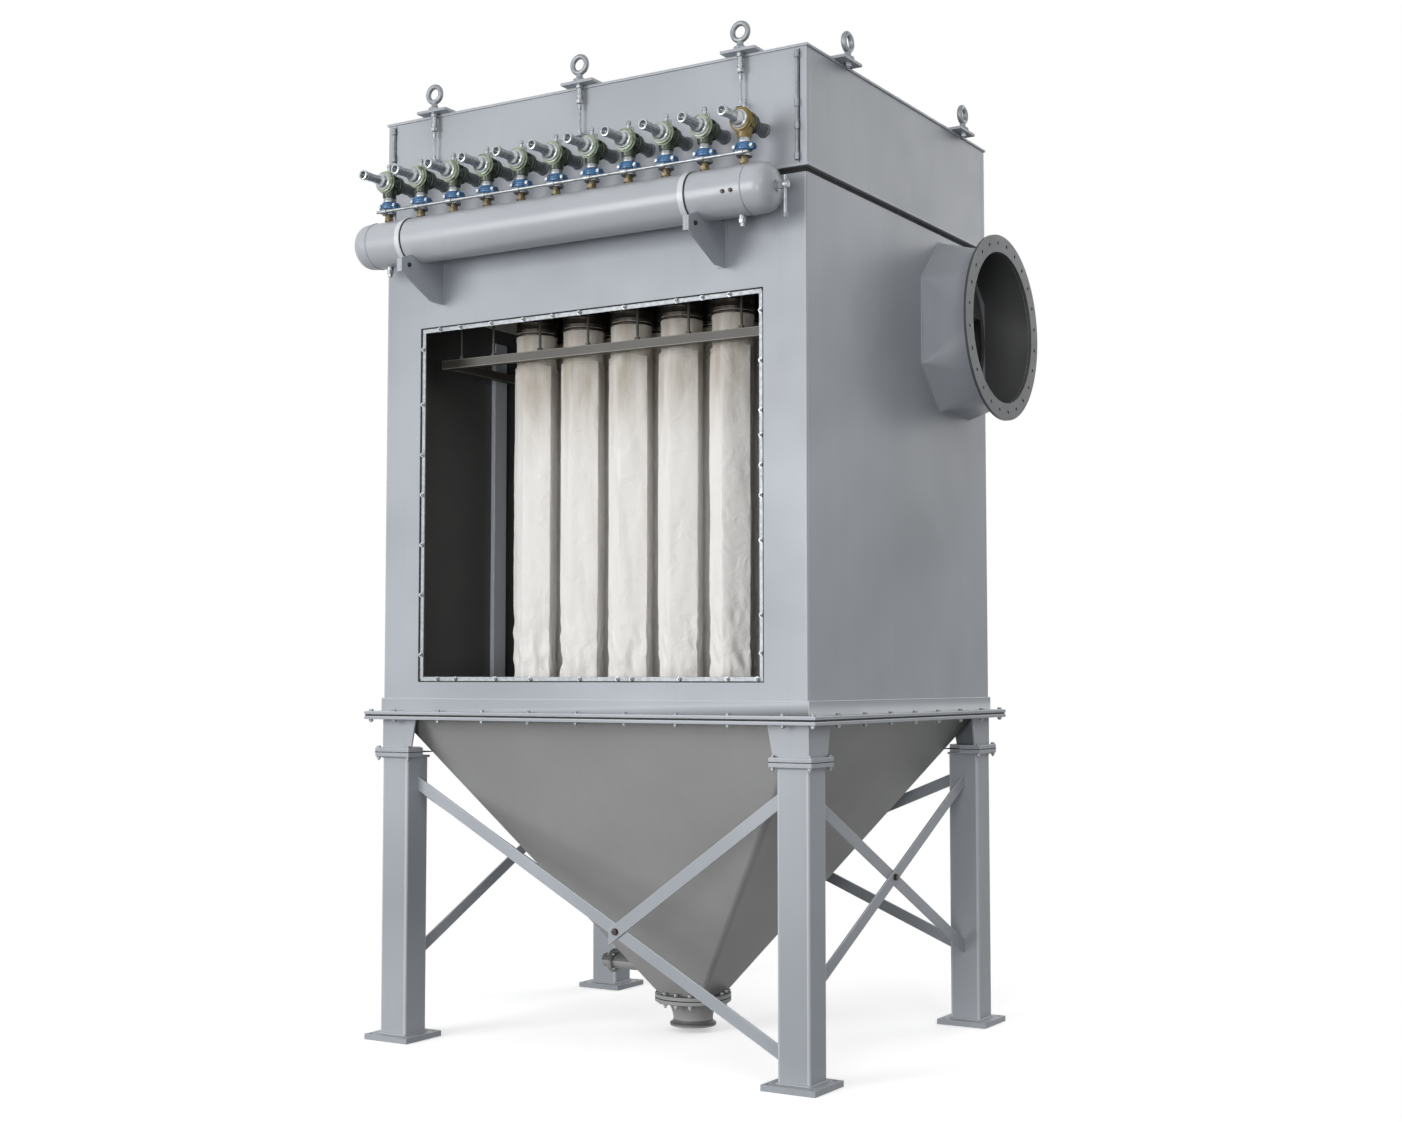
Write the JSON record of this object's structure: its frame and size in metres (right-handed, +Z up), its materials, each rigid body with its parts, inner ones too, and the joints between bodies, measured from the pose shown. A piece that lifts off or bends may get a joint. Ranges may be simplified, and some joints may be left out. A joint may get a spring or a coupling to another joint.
{
  "type": "baghouse filter",
  "caption": "Sheet steel bag filter on braced legs: open access side with filter bags, dust hopper, air header with pulse valves, clean-air plenum and a flanged gas duct.",
  "frame": {"origin": "on the floor, midway between the four legs", "axes": "+Z up, -Y out of the front with the access opening and the pulse valves, +X out of the side with the gas duct"},
  "size_m": [2.05, 1.83, 3.545],
  "materials": {
    "housing_paint": "satin blue-grey paint",
    "hopper_paint": "satin grey paint, dusty",
    "inner_steel": "sooty dark grey primer",
    "gasket_rubber": "matte",
    "filter_felt": "needle felt",
    "zinc_steel": "zinc plated",
    "brass_fittings": "dull",
    "clamp_blue": "gloss",
    "valve_green": "gloss",
    "valve_alloy": "die cast"
  },
  "bodies": {
    "root": {"base_plates": "housing_paint", "legs": "housing_paint", "leg_cap_plates": "housing_paint", "leg_heads": "housing_paint", "front_brace_long": "housing_paint", "front_brace_short": "housing_paint", "braces_falling": "housing_paint", "braces_rising": "housing_paint", "hopper_flange_frame": "housing_paint", "base_angle_frame": "housing_paint", "front_wall": "housing_paint", "back_wall": "housing_paint", "left_wall": "housing_paint", "right_wall": "housing_paint", "plenum_lip": "housing_paint", "plenum_corner_posts": "housing_paint", "plenum_front_panel": "housing_paint", "plenum_walls": "housing_paint", "roof_panel": "housing_paint", "eye_plates": "housing_paint", "stay_lugs": "housing_paint", "header_tank": "housing_paint", "header_ends": "housing_paint", "header_brackets": "housing_paint", "duct_transition": "housing_paint", "duct_flange": "housing_paint", "blow_pipes": "housing_paint", "hopper_front_plate": "hopper_paint", "hopper_back_plate": "hopper_paint", "hopper_left_plate": "hopper_paint", "hopper_right_plate": "hopper_paint", "outlet_flange": "hopper_paint", "outlet_spigot": "hopper_paint", "side_stub": "hopper_paint", "housing_top_frame": "inner_steel", "wall_stiffeners": "inner_steel", "tube_sheet": "inner_steel", "sheet_ribs": "inner_steel", "bag_guide_frame": "inner_steel", "guide_hangers": "inner_steel", "hopper_gasket": "gasket_rubber", "seam_gasket": "gasket_rubber", "filter_bags": "filter_felt", "opening_frame": "zinc_steel", "bag_collars": "zinc_steel", "panel_rods": "zinc_steel", "lifting_eyes": "zinc_steel", "eye_stays": "zinc_steel", "pilot_rail": "zinc_steel", "valve_unions": "zinc_steel", "header_fittings": "brass_fittings", "valve_nipples": "brass_fittings", "valve_clamps": "clamp_blue", "valve_bodies": "valve_green", "valve_actuators": "valve_alloy"}
  },
  "joints": []
}
